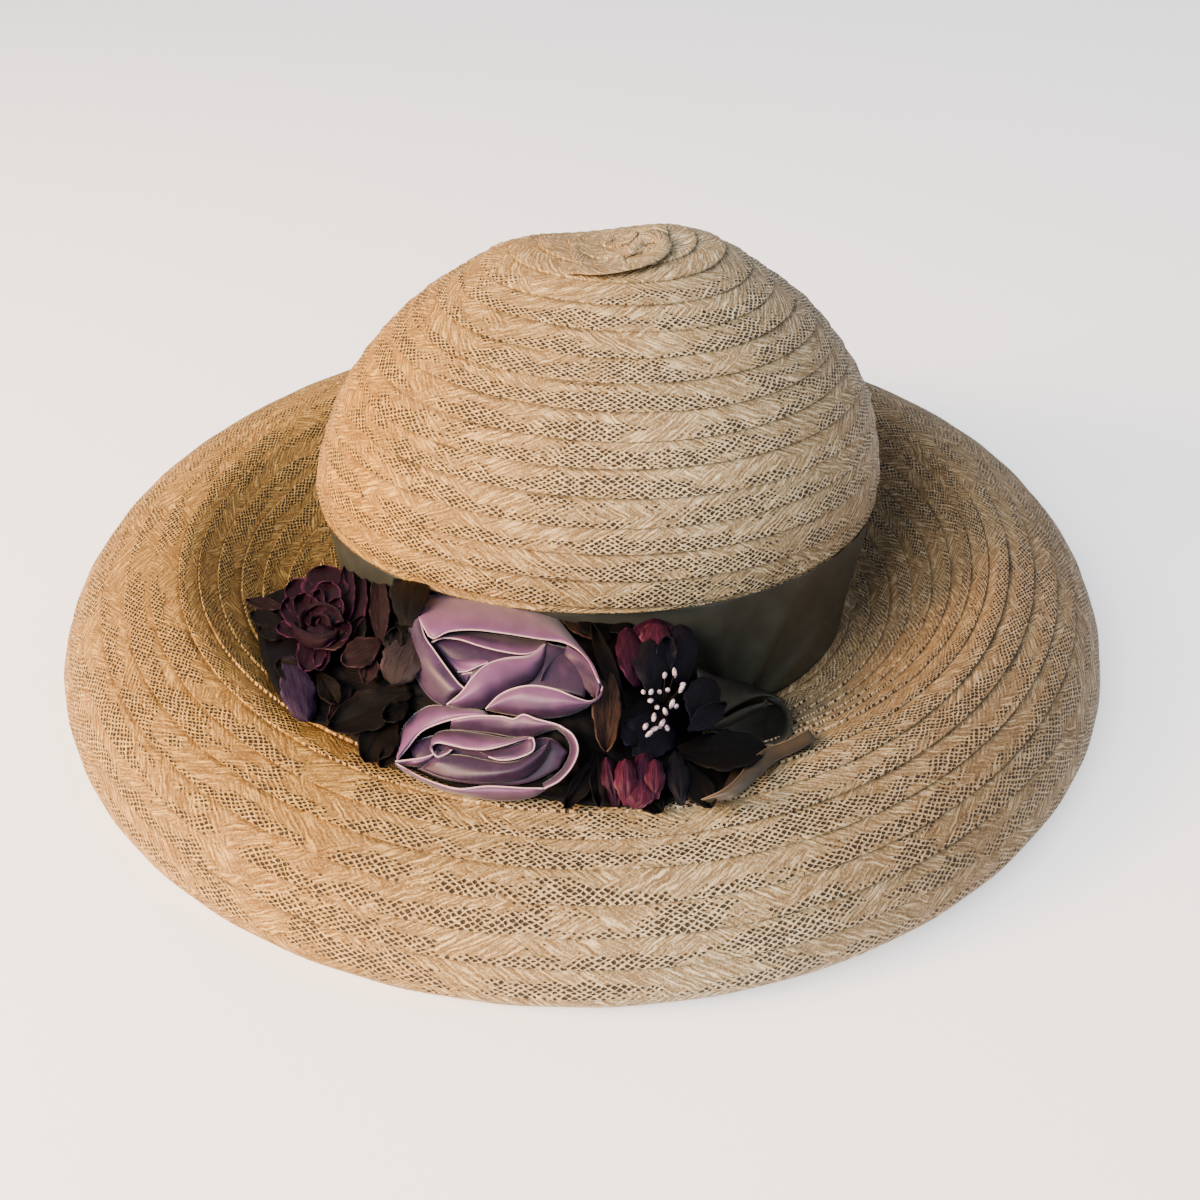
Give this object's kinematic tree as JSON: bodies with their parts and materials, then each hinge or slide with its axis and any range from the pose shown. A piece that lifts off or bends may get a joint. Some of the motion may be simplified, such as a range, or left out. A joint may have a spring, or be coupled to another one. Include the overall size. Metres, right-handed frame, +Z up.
{
  "type": "sun hat",
  "caption": "Wide-brimmed sun hat sewn from straw braid, with a dark satin band and a spray of ribbon roses, buds and leaves at the front.",
  "frame": {"origin": "on the surface that the hat rests on, under the middle of the brim", "axes": "+Z up through the crown, +X along the long axis of the head opening, the flowers on the -Y side"},
  "size_m": [0.4095, 0.4054, 0.1628],
  "materials": {
    "straw": "matte sewn straw braid",
    "olive_satin": "satin ribbon",
    "mauve_satin": "satin ribbon",
    "plum_cloth": "soft matte cloth",
    "burgundy_cloth": "soft sheen cloth",
    "black_cloth": "stiffened matte cloth",
    "brown_cloth": "stiffened matte cloth",
    "lavender_cloth": "stiffened matte cloth",
    "stamen_white": "pearl dipped stamen tips"
  },
  "bodies": {
    "root": {"crown": "straw", "brim": "straw", "hat_band": "olive_satin", "ribbon_knot": "olive_satin", "ribbon_tail": "olive_satin", "leaf_bed": "black_cloth", "mauve_rose_upper": "mauve_satin", "mauve_rose_lower": "mauve_satin", "plum_rose": "plum_cloth", "burgundy_bud_upper": "burgundy_cloth", "burgundy_bud_lower": "burgundy_cloth", "stamens": "stamen_white", "lavender_petal": "lavender_cloth", "taupe_petal": "brown_cloth", "brown_leaf_left": "brown_cloth", "brown_leaf_right": "brown_cloth", "black_leaf_left": "black_cloth", "black_leaf_back": "black_cloth", "black_leaf_low": "black_cloth", "black_leaf_top": "black_cloth", "black_petal_upper": "black_cloth", "black_petal_middle": "black_cloth", "navy_petal": "black_cloth"}
  },
  "joints": []
}
